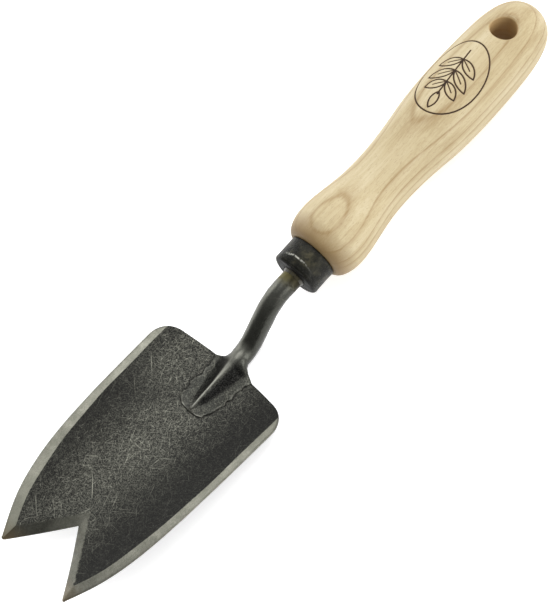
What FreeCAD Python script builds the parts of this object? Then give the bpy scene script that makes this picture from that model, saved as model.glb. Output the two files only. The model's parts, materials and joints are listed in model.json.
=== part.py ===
import FreeCAD, Part
import math
import os

from FreeCAD import Vector

# Hand transplanter: a dished, notched steel blade on a cranked neck, whose tang is
# bedded in a turned ash handle behind a steel ferrule.  Millimetres.
#
# Every piece is first built in the handle's own frame: +X runs along the handle's
# axis from the butt to the blade, x = 0 is the wood shoulder that the ferrule butts
# against, and +Z is the blade's hollow side.  place_on_bench() then lays the tool on
# its back, hollow side up, with the origin under the middle of its box.

# ---- driving dimensions -------------------------------------------------------------
HANDLE_LENGTH = 140.0
SHOULDER_RADIUS = 11.0       # wood left around the tenon, a little wider than the ferrule
FRONT_SWELL = (-13.0, 15.95)  # (x, radius) of the swell behind the ferrule
WAIST = (-43.0, 12.95)
REAR_SWELL = (-96.0, 16.55)
TENON_RADIUS = 9.10
TENON_LENGTH = 9.6
BORE_RADIUS = 4.50           # drilled for the tang
BORE_DEPTH = 66.0            # behind the shoulder

HANG_HOLE_X = -118.4
HANG_HOLE_RADIUS = 5.5
HANG_HOLE_ROUNDING = 1.2     # worn edge of the hole

FERRULE_RADIUS = 10.45
FERRULE_LENGTH = 11.6
FERRULE_WALL = 1.30
FERRULE_LIP_RADIUS = 1.7
FERRULE_HOLE_RADIUS = 4.95

ROD_RADIUS = 4.35
CRANK_ANGLE = 45.0           # degrees below the handle's axis
CRANK_START_X = 16.0
FRONT_BEND_RADIUS = 18.0
HEEL_BEND_RADIUS = 10.0
HEEL_Z = -18.4               # rod's axis at the bottom of the crank
TANG_WIDTH_FRONT = 6.1
TANG_WIDTH_TIP = 3.0
TANG_TIP_X = -61.0
TANG_POINT = 4.0             # length of the tang's blunt point

PLATE_THICKNESS = 2.4
BLADE_HEEL_X = 52.4
HEEL_END = Vector(54.2, 23.8, 0)        # plan points of the +Y half, in order
CORNER_MIDDLE = Vector(57.2, 30.2, 0)
SIDE_START = Vector(64.3, 32.8, 0)
TIP_SIDE = Vector(158.7, 17.9, 0)
TIP_MIDDLE = Vector(159.6, 17.2, 0)
TIP_NOTCH = Vector(159.3, 16.3, 0)
NOTCH_X = 137.5
BEVEL_WIDTH = 3.3
BEVEL_DROP = 1.7             # how far the ground edge sinks below the hollow face

# Hollow face: slope and bow along the blade, and the hollow across it.
FACE_X0 = 60.0
FACE_Z0 = -18.33
FACE_SLOPE = 0.1345
FACE_BOW = -0.000214
HOLLOW = 0.01661             # 1 / radius across the blade at FACE_X0
HOLLOW_GROWTH = 0.000095     # added per millimetre towards the tips

PALM_THICKNESS = 0.6
PALM_HALF_WIDTH = 10.0       # where the webs run out, at the blade's heel
PALM_TIP_X = 77.0
PALM_TIP_HALF_WIDTH = 2.6
WEB_START_X = 46.5           # the webs grow out of the rod here
WEB_START_HALF_WIDTH = 3.8
RIDGE_START_X = 46.6
RIDGE_END_X = 76.0
RIDGE_SECTIONS = (           # x, half width at the palm, bulge of the flanks
    (51.5, 5.6, -0.01),
    (58.0, 5.2, -0.12),
    (67.0, 3.1, -0.12),
)

FIT_GAP = 0.03               # radial gap between parts that are glued or pressed together


# ---- helpers ------------------------------------------------------------------------
def face_z(x, y):
    """Height of the blade's hollow face."""
    s = x - FACE_X0
    across = HOLLOW + HOLLOW_GROWTH * s
    return FACE_Z0 + FACE_SLOPE * s + FACE_BOW * s * s + across * y * y / 2


def face_sheet(lift):
    """The hollow face, raised by lift, as one smooth sheet wider than the blade."""
    xs = [40, 62, 84, 106, 128, 150, 172]
    ys = [-42, -28, -14, 0, 14, 28, 42]
    grid = [[Vector(x, y, face_z(x, y) + lift) for y in ys] for x in xs]
    sheet = Part.BSplineSurface()
    sheet.interpolate(grid)
    return sheet.toShape()


def spline(points):
    curve = Part.BSplineCurve()
    curve.interpolate(points)
    return curve.toShape()


def prism(edges, low, high):
    """A vertical prism over a closed plan outline drawn at z = 0."""
    profile = Part.Face(Part.Wire(Part.__sortEdges__(edges)))
    profile.translate(Vector(0, 0, low))
    return profile.extrude(Vector(0, 0, high - low))


def rod_along_x(radius, x_start, x_end):
    return Part.makeCylinder(radius, x_end - x_start, Vector(x_start, 0, 0), Vector(1, 0, 0))


def mirrored(edges):
    return [edge.mirror(Vector(0, 0, 0), Vector(0, 1, 0)) for edge in edges]


# ---- blade --------------------------------------------------------------------------
def side_edge():
    """One long side in plan, from the shoulder corner to the blunt point."""
    return spline([
        SIDE_START,
        Vector(100.0, 31.3, 0),
        Vector(125.0, 28.9, 0),
        Vector(145.0, 24.0, 0),
        TIP_SIDE,
    ])


def corner_edge():
    """The rounded shoulder corner, from the heel's end to the side's start."""
    return Part.Arc(HEEL_END, CORNER_MIDDLE, SIDE_START).toShape()


def half_outline():
    """Plan of the blade's +Y half, closed along the centre line."""
    quarter_sweep = (HEEL_END.x - BLADE_HEEL_X) / 4
    heel_middle = Vector(BLADE_HEEL_X + quarter_sweep, HEEL_END.y / 2, 0)
    heel = Part.Arc(Vector(BLADE_HEEL_X, 0, 0), heel_middle, HEEL_END).toShape()
    point = Part.Arc(TIP_SIDE, TIP_MIDDLE, TIP_NOTCH).toShape()
    notch = Part.makeLine(TIP_NOTCH, Vector(NOTCH_X, 0, 0))
    centre = Part.makeLine(Vector(NOTCH_X, 0, 0), Vector(BLADE_HEEL_X, 0, 0))
    return [heel, corner_edge(), side_edge(), point, notch, centre]


def plate_slab(top_lift, bottom_lift):
    """Everything between two copies of the hollow face."""
    return face_sheet(top_lift).extrude(Vector(0, 0, bottom_lift - top_lift))


def bevel_stations(edge, steps):
    """Points along an edge, each with its inward normal."""
    stations = []
    for i in range(steps + 1):
        at = edge.FirstParameter + i / steps * (edge.LastParameter - edge.FirstParameter)
        tangent = edge.tangentAt(at)
        stations.append((edge.valueAt(at), Vector(tangent.y, -tangent.x, 0)))
    return stations


def bevel_cutter(stations):
    """The metal ground off above one bevel, whose floor meets the hollow face at the
    bevel's width from the edge."""
    steepness = BEVEL_DROP / BEVEL_WIDTH
    margin = 1.0
    rails = []
    for reach in (BEVEL_WIDTH + margin, -margin):
        rail = []
        for point, inward in stations:
            spot = point + inward * reach
            height = face_z(spot.x, spot.y) + steepness * (reach - BEVEL_WIDTH)
            rail.append(Vector(spot.x, spot.y, height))
        rails.append(spline(rail))
    return Part.makeRuledSurface(*rails).extrude(Vector(0, 0, 20))


def side_bevel():
    """Runs straight out across the shoulder corner, and past the point."""
    side = bevel_stations(side_edge(), 14)
    first_point, first_inward = side[0]
    last_point, last_inward = side[-1]
    backward = Vector(first_inward.y, -first_inward.x, 0)
    forward = Vector(-last_inward.y, last_inward.x, 0)
    before = (first_point + backward * 12, first_inward)
    after = (last_point + forward * 4, last_inward)
    return bevel_cutter([before] + side + [after])


def notch_bevel():
    """Runs past the point and past the centre line, where its mirror image meets it."""
    apex = Vector(NOTCH_X, 0, 0)
    along = (TIP_NOTCH - apex).normalize()
    line = Part.makeLine(TIP_NOTCH + along * 4, apex - along * 8)
    return bevel_cutter(bevel_stations(line, 4))


def make_blade(bevelled=True):
    half = plate_slab(0, -PLATE_THICKNESS).common(prism(half_outline(), -60, 40))
    if bevelled:
        half = half.cut(side_bevel()).cut(notch_bevel())
    other = half.mirror(Vector(0, 0, 0), Vector(0, 1, 0))
    return half.fuse(other).removeSplitter()


# ---- neck ---------------------------------------------------------------------------
def crank_path():
    """Axis of the round rod, from behind the ferrule's face to the blade's heel."""
    angle = math.radians(CRANK_ANGLE)
    rise = math.atan(FACE_SLOPE)
    front_centre = Vector(CRANK_START_X, 0, -FRONT_BEND_RADIUS)
    start = Vector(TENON_LENGTH + FIT_GAP, 0, 0)
    bend_in = Vector(CRANK_START_X, 0, 0)

    def on_front(a):
        return front_centre + Vector(math.sin(a), 0, math.cos(a)) * FRONT_BEND_RADIUS

    slope_start = on_front(angle)
    heel_lift = HEEL_BEND_RADIUS * (1 - math.cos(angle))
    slope_drop = slope_start.z - (HEEL_Z + heel_lift)
    slope_end = slope_start + Vector(slope_drop / math.tan(angle), 0, -slope_drop)
    heel_centre = slope_end + Vector(math.sin(angle), 0, math.cos(angle)) * HEEL_BEND_RADIUS

    def on_heel(a):
        return heel_centre + Vector(math.sin(a), 0, -math.cos(a)) * HEEL_BEND_RADIUS

    bend_out = on_heel(rise)
    end = bend_out + Vector(math.cos(rise), 0, math.sin(rise)) * 2.0
    return Part.Wire([
        Part.makeLine(start, bend_in),
        Part.Arc(bend_in, on_front(angle / 2), slope_start).toShape(),
        Part.makeLine(slope_start, slope_end),
        Part.Arc(slope_end, on_heel((rise - angle) / 2), bend_out).toShape(),
        Part.makeLine(bend_out, end),
    ])


def make_rod():
    start = Vector(TENON_LENGTH + FIT_GAP, 0, 0)
    section = Part.Wire(Part.makeCircle(ROD_RADIUS, start, Vector(1, 0, 0)))
    return crank_path().makePipeShell([section], True, False)


def ridge_section(x, half_width, base_z, top_z, bulge):
    """One section of the foot's ridge: bulge > 0 is a full flank, < 0 a hollow one."""
    left = Vector(x, -half_width, base_z)
    right = Vector(x, half_width, base_z)
    top = Vector(x, 0, top_z)
    edges = []
    for foot in (left, right):
        chord = top - foot
        outward = Vector(0, math.copysign(1, foot.y), 0) * abs(chord.z)
        outward = (outward + Vector(0, 0, 1) * abs(chord.y)).normalize()
        middle = (foot + top) * 0.5 + outward * (bulge * chord.Length)
        edges.append(Part.Arc(foot, middle, top).toShape())
    edges.append(Part.makeLine(left, right))
    return Part.Wire(Part.__sortEdges__(edges))


def make_ridge():
    """Starts as the rod's upper half and runs down to nothing near the palm's tip."""
    start_z = HEEL_Z + ROD_RADIUS
    end_z = face_z(RIDGE_END_X, 0) + 0.15

    def top_z(x):
        share = (x - RIDGE_START_X) / (RIDGE_END_X - RIDGE_START_X)
        return start_z + share * (end_z - start_z)

    quarter_circle = (math.sqrt(2) - 1) / 2    # bulge of an arc over 90 degrees
    half_width = ROD_RADIUS - 0.05
    sections = [ridge_section(RIDGE_START_X, half_width, HEEL_Z, start_z - 0.02, quarter_circle)]
    for x, half_width, bulge in RIDGE_SECTIONS:
        sections.append(ridge_section(x, half_width, face_z(x, 0) + 0.3, top_z(x), bulge))
    last_base = face_z(RIDGE_END_X, 0) - 0.1
    sections.append(ridge_section(RIDGE_END_X, 0.3, last_base, end_z, RIDGE_SECTIONS[-1][2]))
    return Part.makeLoft(sections, True, False)


def palm_outline():
    """Plan of the foot's flat palm and of the webs that join it to the rod."""
    web_start = Vector(WEB_START_X, WEB_START_HALF_WIDTH, 0)
    web_end = Vector(52.9, PALM_HALF_WIDTH, 0)
    tip_start = Vector(PALM_TIP_X, PALM_TIP_HALF_WIDTH, 0)
    web = spline([web_start, Vector(50.2, 5.2, 0), web_end])
    flank = spline([
        web_end,
        Vector(58.0, 8.9, 0),
        Vector(66.0, 8.9, 0),
        Vector(73.0, 7.3, 0),
        tip_start,
    ])
    tip_end = Vector(PALM_TIP_X, -PALM_TIP_HALF_WIDTH, 0)
    tip = Part.Arc(tip_start, Vector(PALM_TIP_X + 0.5, 0, 0), tip_end).toShape()
    back = Part.makeLine(web_start, Vector(WEB_START_X, -WEB_START_HALF_WIDTH, 0))
    sides = [web, flank]
    return sides + mirrored(sides) + [tip, back]


def make_tang():
    """Square spike: four flats that taper to a blunt point."""
    point_width = 1.0

    def square(x, width):
        h = width / 2
        corners = [Vector(x, -h, -h), Vector(x, h, -h), Vector(x, h, h), Vector(x, -h, h)]
        return Part.makePolygon(corners + corners[:1])

    front_x = TENON_LENGTH + FIT_GAP
    taper = [square(TANG_TIP_X, TANG_WIDTH_TIP), square(front_x, TANG_WIDTH_FRONT)]
    point = [square(TANG_TIP_X - TANG_POINT, point_width), square(TANG_TIP_X, TANG_WIDTH_TIP)]
    return Part.makeLoft(taper, True, True).fuse(Part.makeLoft(point, True, True))


def below_bench(clearance):
    """The space under the flat that the tool lies on, lifted by clearance."""
    length, width, depth = 400, 200, 40
    slab = Part.makeBox(length, width, depth, Vector(-length / 2, -width / 2, -depth))
    heel_x, heel_z, tilt = bench_line()
    slab.rotate(Vector(0, 0, 0), Vector(0, 1, 0), tilt)
    slab.translate(Vector(heel_x, 0, heel_z + clearance))
    return slab


def make_neck(blade_blank):
    palm = plate_slab(PALM_THICKNESS, -PLATE_THICKNESS).common(prism(palm_outline(), -60, 40))
    foot = palm.fuse(make_ridge()).fuse(make_rod())
    foot = foot.cut(below_bench(0.15)).cut(blade_blank)
    return foot.fuse(make_tang()).removeSplitter()


# ---- ferrule ------------------------------------------------------------------------
def make_ferrule():
    body = rod_along_x(FERRULE_RADIUS, 0, FERRULE_LENGTH)
    lip = [edge for edge in body.Edges if abs(edge.BoundBox.XMin - FERRULE_LENGTH) < 0.01]
    lip = [edge for edge in lip if edge.BoundBox.XLength < 0.01]
    body = body.makeFillet(FERRULE_LIP_RADIUS, lip)
    inside = rod_along_x(FERRULE_RADIUS - FERRULE_WALL, -1, TENON_LENGTH + FIT_GAP)
    hole = rod_along_x(FERRULE_HOLE_RADIUS, 0, FERRULE_LENGTH + 1)
    return body.cut(inside).cut(hole)


# ---- handle -------------------------------------------------------------------------
def handle_profile():
    """Half section of the turned grip, from the wood shoulder to the butt."""
    points = [
        Vector(0, SHOULDER_RADIUS, 0),
        Vector(-1.3, 13.0, 0),
        Vector(-4.5, 14.9, 0),
        Vector(FRONT_SWELL[0], FRONT_SWELL[1], 0),
        Vector(-23, 14.7, 0),
        Vector(-33, 13.3, 0),
        Vector(WAIST[0], WAIST[1], 0),
        Vector(-56, 13.7, 0),
        Vector(-74, 15.8, 0),
        Vector(REAR_SWELL[0], REAR_SWELL[1], 0),
        Vector(-114, 16.05, 0),
        Vector(-127, 14.5, 0),
        Vector(-135, 11.2, 0),
        Vector(-139, 6.2, 0),
        Vector(-HANDLE_LENGTH, 0, 0),
    ]
    return spline(points)


def is_hang_hole_rim(edge):
    box = edge.BoundBox
    across = 2 * HANG_HOLE_RADIUS
    crosses = abs(box.YLength - across) < 0.5 or abs(box.XLength - across) < 0.5
    return crosses and box.ZLength < across and abs(box.Center.x - HANG_HOLE_X) < across


def make_handle():
    start = Vector(0, SHOULDER_RADIUS, 0)
    butt = Vector(-HANDLE_LENGTH, 0, 0)
    closing = [Part.makeLine(butt, Vector(0, 0, 0)), Part.makeLine(Vector(0, 0, 0), start)]
    section = Part.Face(Part.Wire([handle_profile()] + closing))
    body = section.revolve(Vector(0, 0, 0), Vector(1, 0, 0), 360)
    tenon = rod_along_x(TENON_RADIUS, -1, TENON_LENGTH)
    bore = rod_along_x(BORE_RADIUS, -BORE_DEPTH, TENON_LENGTH + 1)
    hang_hole = Part.makeCylinder(HANG_HOLE_RADIUS, 60, Vector(HANG_HOLE_X, 0, -30))
    body = body.cut(hang_hole)
    rims = [edge for edge in body.Edges if is_hang_hole_rim(edge)]
    body = body.makeFillet(HANG_HOLE_ROUNDING, rims)
    return body.fuse(tenon).cut(bore)


# ---- adhesive -----------------------------------------------------------------------
def make_tang_adhesive(neck):
    """Fills the bore round the tang and the ring between the rod and the ferrule."""
    filling = rod_along_x(BORE_RADIUS - FIT_GAP, FIT_GAP - BORE_DEPTH, TENON_LENGTH + FIT_GAP)
    ring_start = TENON_LENGTH + FIT_GAP
    ring = rod_along_x(FERRULE_HOLE_RADIUS - FIT_GAP, ring_start, FERRULE_LENGTH)
    bead = Part.makeCone(
        FERRULE_HOLE_RADIUS - FIT_GAP, ROD_RADIUS, 1.2, Vector(FERRULE_LENGTH, 0, 0), Vector(1, 0, 0)
    )
    return filling.fuse(ring).fuse(bead).cut(neck)


# ---- the whole tool -----------------------------------------------------------------
def bench_line():
    """Heel contact and tilt of the flat that the blade's heel and rear swell lie on."""
    heel_z = face_z(BLADE_HEEL_X, 0) - PLATE_THICKNESS
    swell_x, swell_radius = REAR_SWELL
    drop = -swell_radius - heel_z
    tilt = math.degrees(math.atan2(drop, BLADE_HEEL_X - swell_x))
    return BLADE_HEEL_X, heel_z, tilt


def place_on_bench(pieces):
    """Lay the tool on its back with the origin under the middle of its box."""
    tilt = bench_line()[2]
    for shape in pieces.values():
        shape.rotate(Vector(0, 0, 0), Vector(0, 1, 0), -tilt)
    box = Part.makeCompound(list(pieces.values())).optimalBoundingBox(False)
    shift = Vector(-box.Center.x, -box.Center.y, -box.ZMin)
    for shape in pieces.values():
        shape.translate(shift)
    return shift


def main():
    os.makedirs("parts", exist_ok=True)
    neck = make_neck(make_blade(bevelled=False))
    pieces = {
        "blade": make_blade(),
        "neck": neck,
        "ferrule": make_ferrule(),
        "handle": make_handle(),
        "tang_adhesive": make_tang_adhesive(neck),
    }
    shift = place_on_bench(pieces)
    print("shift", shift, "tilt", bench_line()[2])
    for node, shape in pieces.items():
        box = shape.BoundBox
        print(node, shape.isValid(), len(shape.Solids), round(shape.Volume, 1), box)
        shape.exportStep("parts/" + node + ".step")


main()
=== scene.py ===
"""Hand transplanter: forged blade and neck, blackened ferrule, turned ash handle.

Every piece is drawn in the handle's own frame, in millimetres, as in the part: +X along
the handle's axis towards the blade, x = 0 at the wood shoulder behind the ferrule, +Z on
the blade's hollow side.  add_piece() moves it into the row frame, in metres.
"""
import json
import math

import bmesh
import bpy
import numpy as np
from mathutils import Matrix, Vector
from mathutils.geometry import delaunay_2d_cdt


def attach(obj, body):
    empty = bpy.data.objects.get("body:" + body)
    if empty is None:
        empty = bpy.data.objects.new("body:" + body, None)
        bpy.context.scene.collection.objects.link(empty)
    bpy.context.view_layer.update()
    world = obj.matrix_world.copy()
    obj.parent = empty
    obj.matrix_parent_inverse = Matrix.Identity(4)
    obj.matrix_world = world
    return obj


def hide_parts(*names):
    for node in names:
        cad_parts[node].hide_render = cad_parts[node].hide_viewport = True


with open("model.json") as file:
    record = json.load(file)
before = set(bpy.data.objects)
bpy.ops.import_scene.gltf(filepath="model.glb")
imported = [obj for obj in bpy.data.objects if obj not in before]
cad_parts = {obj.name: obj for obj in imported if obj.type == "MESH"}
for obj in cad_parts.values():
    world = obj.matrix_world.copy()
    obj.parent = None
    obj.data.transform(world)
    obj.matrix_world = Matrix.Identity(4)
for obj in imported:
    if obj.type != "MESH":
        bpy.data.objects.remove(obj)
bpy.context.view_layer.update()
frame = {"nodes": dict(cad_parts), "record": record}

# ---- the handle's frame, from the hanging hole's mount ----
HOLE_X = -118.4
HOLE_RADIUS = 5.5
hole_mount = next(m for m in frame["record"]["mounts"] if m["name"] == "hanging_hole")
UP = Vector(hole_mount["axis"]).normalized()
ALONG = Vector((UP.z, 0, -UP.x))
SIDE = Vector((0, 1, 0))
ORIGIN = Vector(hole_mount["pos_m"]) - ALONG * (HOLE_X / 1000)

# ---- driving dimensions, mm ----
REAR_SWELL = (-96.0, 16.55)  # x and radius
HANDLE_PROFILE = [  # x and radius of the turned grip
    (0, 11.0), (-1.3, 13.0), (-4.5, 14.9), (-13.0, 15.95), (-23, 14.7), (-33, 13.3),
    (-43.0, 12.95), (-56, 13.7), (-74, 15.8), REAR_SWELL, (-114, 16.05),
    (-127, 14.5), (-135, 11.2), (-139, 6.2), (-140.0, 0.0),
]
PROFILE_SAMPLES = 1400
HOLE_ROUNDING = 1.2
TENON_LENGTH = 9.6
BORE_RADIUS = 4.5
BORE_END_X = -66.0

FERRULE_RADIUS = 10.45
FERRULE_LENGTH = 11.6
FERRULE_WALL = 1.3
FERRULE_LIP = 1.7
FERRULE_HOLE = 4.95
FERRULE_SEAT = 9.64  # x of the front wall's inner face
FERRULE_BREAK = 7.2  # x where the lip's beaten upper part starts to turn in

ROD_RADIUS = 4.35
CRANK_ANGLE = math.radians(45)
CRANK_START_X = 16.0
FRONT_BEND = 18.0
HEEL_BEND = 10.0
HEEL_Z = -18.4

PLATE = 2.4
BLADE_HEEL_X = 52.4
HEEL_END = (54.2, 23.8)
CORNER_MIDDLE = (57.2, 30.2)
SIDE_POINTS = [(64.3, 32.8), (100.0, 31.3), (125.0, 28.9), (145.0, 24.0), (158.7, 17.9)]
TIP_MIDDLE = (159.6, 17.2)
TIP_NOTCH = (159.3, 16.3)
NOTCH_X = 137.5
NOTCH_BEVEL = 4.1  # width of the notch's bevels
NOTCH_DROP = 2.0
SIDE_STEEPNESS = 0.515  # drop of the side's bevels over their width
LEFT_BEVEL = 1.12  # the -Y side's bevel is this much wider

FACE_X = 60.0  # where the hollow face's height and slopes are given
FACE_Z = -18.33
FACE_SLOPE = 0.1345
FACE_BOW = 0.000214
FACE_HOLLOW = 0.01661  # curvature across the blade, which grows towards its points
HOLLOW_GROWTH = 0.000095

WEB_X = 47.3  # the foot: start of its webs, of its palm, and its two ends
PALM_X = 52.9
RIDGE_END_X = 76
FOOT_TIP_X = 77.6
PALM_SINK = 0.1  # the lapped foot's edge starts this far below the hollow face
PALM = 0.42  # and its top lies this far above that edge


# ---- curves and noise ----
def run_length(path):
    """Distance along a polyline at each of its points."""
    return np.r_[0, np.cumsum(np.hypot(*np.diff(path, axis=0).T))]


def natural_spline(points, samples):
    """A smooth curve through the points, sampled evenly in chord length."""
    p = np.array(points, float)
    t = run_length(p)
    h = np.diff(t)
    n = len(p)
    system = np.eye(n)
    right = np.zeros((n, p.shape[1]))
    for i in range(1, n - 1):
        system[i, i - 1:i + 2] = h[i - 1], 2 * (h[i - 1] + h[i]), h[i]
        right[i] = 6 * ((p[i + 1] - p[i]) / h[i] - (p[i] - p[i - 1]) / h[i - 1])
    bend = np.linalg.solve(system, right)
    at = np.linspace(0, t[-1], samples)
    k = np.clip(np.searchsorted(t, at, side="right") - 1, 0, n - 2)
    a, b = ((t[k + 1] - at) / h[k])[:, None], ((at - t[k]) / h[k])[:, None]
    chord = a * p[k] + b * p[k + 1]
    return chord + ((a ** 3 - a) * bend[k] + (b ** 3 - b) * bend[k + 1]) * (h[k] ** 2)[:, None] / 6


def arc(start, middle, end, samples):
    """Points on the circular arc through three plan points."""
    (ax, ay), (bx, by), (cx, cy) = start, middle, end
    d = 2 * (ax * (by - cy) + bx * (cy - ay) + cx * (ay - by))
    a2, b2, c2 = ax * ax + ay * ay, bx * bx + by * by, cx * cx + cy * cy
    ox = (a2 * (by - cy) + b2 * (cy - ay) + c2 * (ay - by)) / d
    oy = (a2 * (cx - bx) + b2 * (ax - cx) + c2 * (bx - ax)) / d
    first, last = math.atan2(ay - oy, ax - ox), math.atan2(cy - oy, cx - ox)
    turn = (last - first + math.pi) % (2 * math.pi) - math.pi
    angles = first + turn * np.linspace(0, 1, samples)
    radius = math.hypot(ax - ox, ay - oy)
    return np.c_[ox + radius * np.cos(angles), oy + radius * np.sin(angles)]


def line(start, end, samples):
    """Evenly spaced points from start to end."""
    share = np.linspace(0, 1, samples)[:, None]
    return np.array(start, float) * (1 - share) + np.array(end, float) * share


def smoothstep(low, high, value):
    """0 at low and 1 at high, with level ends; low may be the greater one."""
    t = np.clip((value - low) / (high - low), 0, 1)
    return t * t * (3 - 2 * t)


def lumps(points, cell, seed):
    """Smooth lattice noise between -1 and 1, the same on every run."""
    table = np.random.default_rng(seed).uniform(-1, 1, (32, 32, 32))
    q = points / cell
    corner = np.floor(q).astype(int)
    f = q - corner
    f = f * f * (3 - 2 * f)
    total = np.zeros(len(q))
    for step in np.ndindex(2, 2, 2):
        i, j, k = ((corner + step) % 32).T
        total += np.prod(np.abs(1 - np.array(step) - f), axis=1) * table[i, j, k]
    return total


# ---- meshes ----
TO_ROW = np.array([ALONG, SIDE, UP]) / 1000


def row_mesh(name, points, faces):
    """A closed mesh in the row frame, in metres, with every face turned outwards."""
    mesh = bpy.data.meshes.new(name)
    mesh.from_pydata((points @ TO_ROW + np.array(ORIGIN)).tolist(), [], faces)
    work = bmesh.new()
    work.from_mesh(mesh)
    bmesh.ops.recalc_face_normals(work, faces=work.faces)
    work.to_mesh(mesh)
    work.free()
    return mesh


def add_object(name, data):
    made = bpy.data.objects.new(name, data)
    bpy.context.collection.objects.link(made)
    return made


def add_piece(name, points, faces, node, material):
    """A piece from points in the handle's frame; it stands for one CAD node."""
    mesh = row_mesh(name, points, faces)
    mesh.shade_smooth()
    piece = add_object(name, mesh)
    mesh.materials.append(material)
    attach(piece, "root")
    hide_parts(node)
    return piece


def store_vectors(piece):
    """Keeps each point's place in the handle's frame, in mm, for the materials."""
    mesh = piece.data
    co = np.empty(len(mesh.vertices) * 3)
    mesh.vertices.foreach_get("co", co)
    local = (co.reshape(-1, 3) - np.array(ORIGIN)) @ np.linalg.inv(TO_ROW)
    stored = mesh.attributes.new("place_mm", "FLOAT_VECTOR", "POINT")
    stored.data.foreach_set("vector", local.ravel())
    return local


def store_values(piece, name, values):
    """Keeps one number for each point, for the materials."""
    piece.data.attributes.new(name, "FLOAT", "POINT").data.foreach_set("value", values)


def tube_faces(rows, columns, closed_rows=False):
    """Quads of a rows by columns grid whose columns wrap round.  Either its rows wrap
    round as well, or a face closes each end."""
    faces = []
    for i in range(rows if closed_rows else rows - 1):
        for j in range(columns):
            k = (j + 1) % columns
            m = (i + 1) % rows
            faces.append((i * columns + j, i * columns + k, m * columns + k, m * columns + j))
    if not closed_rows:
        last = (rows - 1) * columns
        faces += [tuple(range(columns)), tuple(range(last, last + columns))]
    return faces


def lathe(profile, angles):
    """Points of a profile of x and radius turned about the axis, ring by ring."""
    x = np.repeat(profile[:, 0], len(angles))
    radius = np.repeat(profile[:, 1], len(angles))
    turn = np.tile(angles, len(profile))
    return np.c_[x, radius * np.sin(turn), radius * np.cos(turn)]


def from_axis(points):
    """Each point's distance from the handle's axis, and the unit vector away from it."""
    radial = np.c_[points[:, 0] * 0, points[:, 1:]]
    radius = np.linalg.norm(radial, axis=1)
    return radius, radial / np.maximum(radius, 1e-6)[:, None]


# ---- shared shapes of blade and neck ----
def face_z(x, y):
    """Height of the blade's hollow face."""
    s = x - FACE_X
    hollow = FACE_HOLLOW + HOLLOW_GROWTH * s
    return FACE_Z + FACE_SLOPE * s - FACE_BOW * s ** 2 + hollow * y ** 2 / 2


def bend_out_of_true(points):
    """Forging leaves the heel a little askew, and the rod and the blade a little to -Y."""
    x, y = points[:, 0], points[:, 1]
    askew = 0.017 * smoothstep(44, 52, x) * smoothstep(115, 56, x)
    rod_lean = 0.3 * smoothstep(14, 24, x) * smoothstep(48, 40, x)
    blade_lean = 0.15 * smoothstep(52, 70, x) + 0.3 * smoothstep(70, 130, x)
    moved = points.copy()
    moved[:, 0] -= askew * y
    moved[:, 1] -= rod_lean + blade_lean
    return moved


def palm_half_widths(x):
    """The foot's reach on the +Y and the -Y side, at each x."""
    right = [
        (WEB_X, 4.4), (48.8, 5.1), (50.4, 6.9), (51.8, 9.3), (PALM_X, 11.2), (56.2, 9.4),
        (61.4, 9.7), (67.0, 9.5), (73.2, 7.4), (76.2, 6.0), (77.2, 3.2), (FOOT_TIP_X, 0.15),
    ]
    left = [
        (WEB_X, 4.2), (48.8, 4.3), (50.4, 5.2), (51.8, 7.0), (PALM_X, 9.2), (54.3, 8.5),
        (61.3, 7.4), (66.9, 8.3), (74.3, 7.2), (76.6, 5.0), (77.3, 2.6), (FOOT_TIP_X, 0.15),
    ]
    reach = []
    for seed, points in ((5, right), (6, left)):
        px, py = np.array(points).T
        width = np.interp(x, px, py)
        along = np.c_[x, x * 0, x * 0]
        wander = lumps(along, 2.6, seed) * 0.5 + lumps(along, 1.1, seed + 2) * 0.28
        reach.append(width + wander * smoothstep(53, 56, x) * smoothstep(77.4, 76.4, x))
    return reach


def palm_outline():
    """Plan of the foot's edge on the blade, from one web round the tip to the other."""
    sides = np.arange(PALM_X, RIDGE_END_X, 0.4)
    tip = np.arange(RIDGE_END_X, FOOT_TIP_X, 0.12)
    x = np.r_[sides, tip, FOOT_TIP_X]
    right, left = palm_half_widths(x)
    return np.r_[np.c_[x, right], np.c_[x, -left][::-1]]


def distance_to(points, path):
    """Each point's distance from a polyline, and how far along the polyline it lies."""
    run = np.diff(path, axis=0)
    best = np.full(len(points), 1e9)
    where = np.zeros(len(points))
    for a, d, span, s in zip(path, run, np.hypot(*run.T), run_length(path)):
        if span < 1e-6:
            continue
        t = np.clip((points - a) @ d / span ** 2, 0, 1)
        gap = np.hypot(*(points - a - t[:, None] * d).T)
        closer = gap < best
        best[closer] = gap[closer]
        where[closer] = s + t[closer] * span
    return best, where


def inside(points, outline):
    """Which points lie within a closed plan outline."""
    x, y = points.T
    result = np.zeros(len(points), bool)
    for (ax, ay), (bx, by) in zip(outline, np.roll(outline, -1, axis=0)):
        if ay != by:
            result ^= ((ay > y) != (by > y)) & (x < ax + (y - ay) / (by - ay) * (bx - ax))
    return result


# ---- blade ----
NOTCH_ALONG = np.array([TIP_NOTCH[0] - NOTCH_X, TIP_NOTCH[1]])
NOTCH_ALONG /= np.hypot(*NOTCH_ALONG)
NOTCH_INWARD = np.array([-NOTCH_ALONG[1], NOTCH_ALONG[0]])
EDGE_RINGS = (0.14, 0.42)  # depths of the mesh lines that follow the rounded edge
THINNEST = 0.25


def blade_side():
    """The +Y side in plan, run on straight past both of its ends."""
    side = natural_spline(SIDE_POINTS, 140)
    back, forward = side[0] - side[1], side[-1] - side[-2]
    back, forward = back / np.hypot(*back), forward / np.hypot(*forward)
    return np.r_[[side[0] + back * 12], side, [side[-1] + forward * 5]]


def right_normals(path):
    """Unit normals of a polyline, to the right of its direction."""
    along = np.gradient(path, axis=0)
    along /= np.hypot(*along.T)[:, None]
    return np.c_[along[:, 1], -along[:, 0]]


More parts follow.
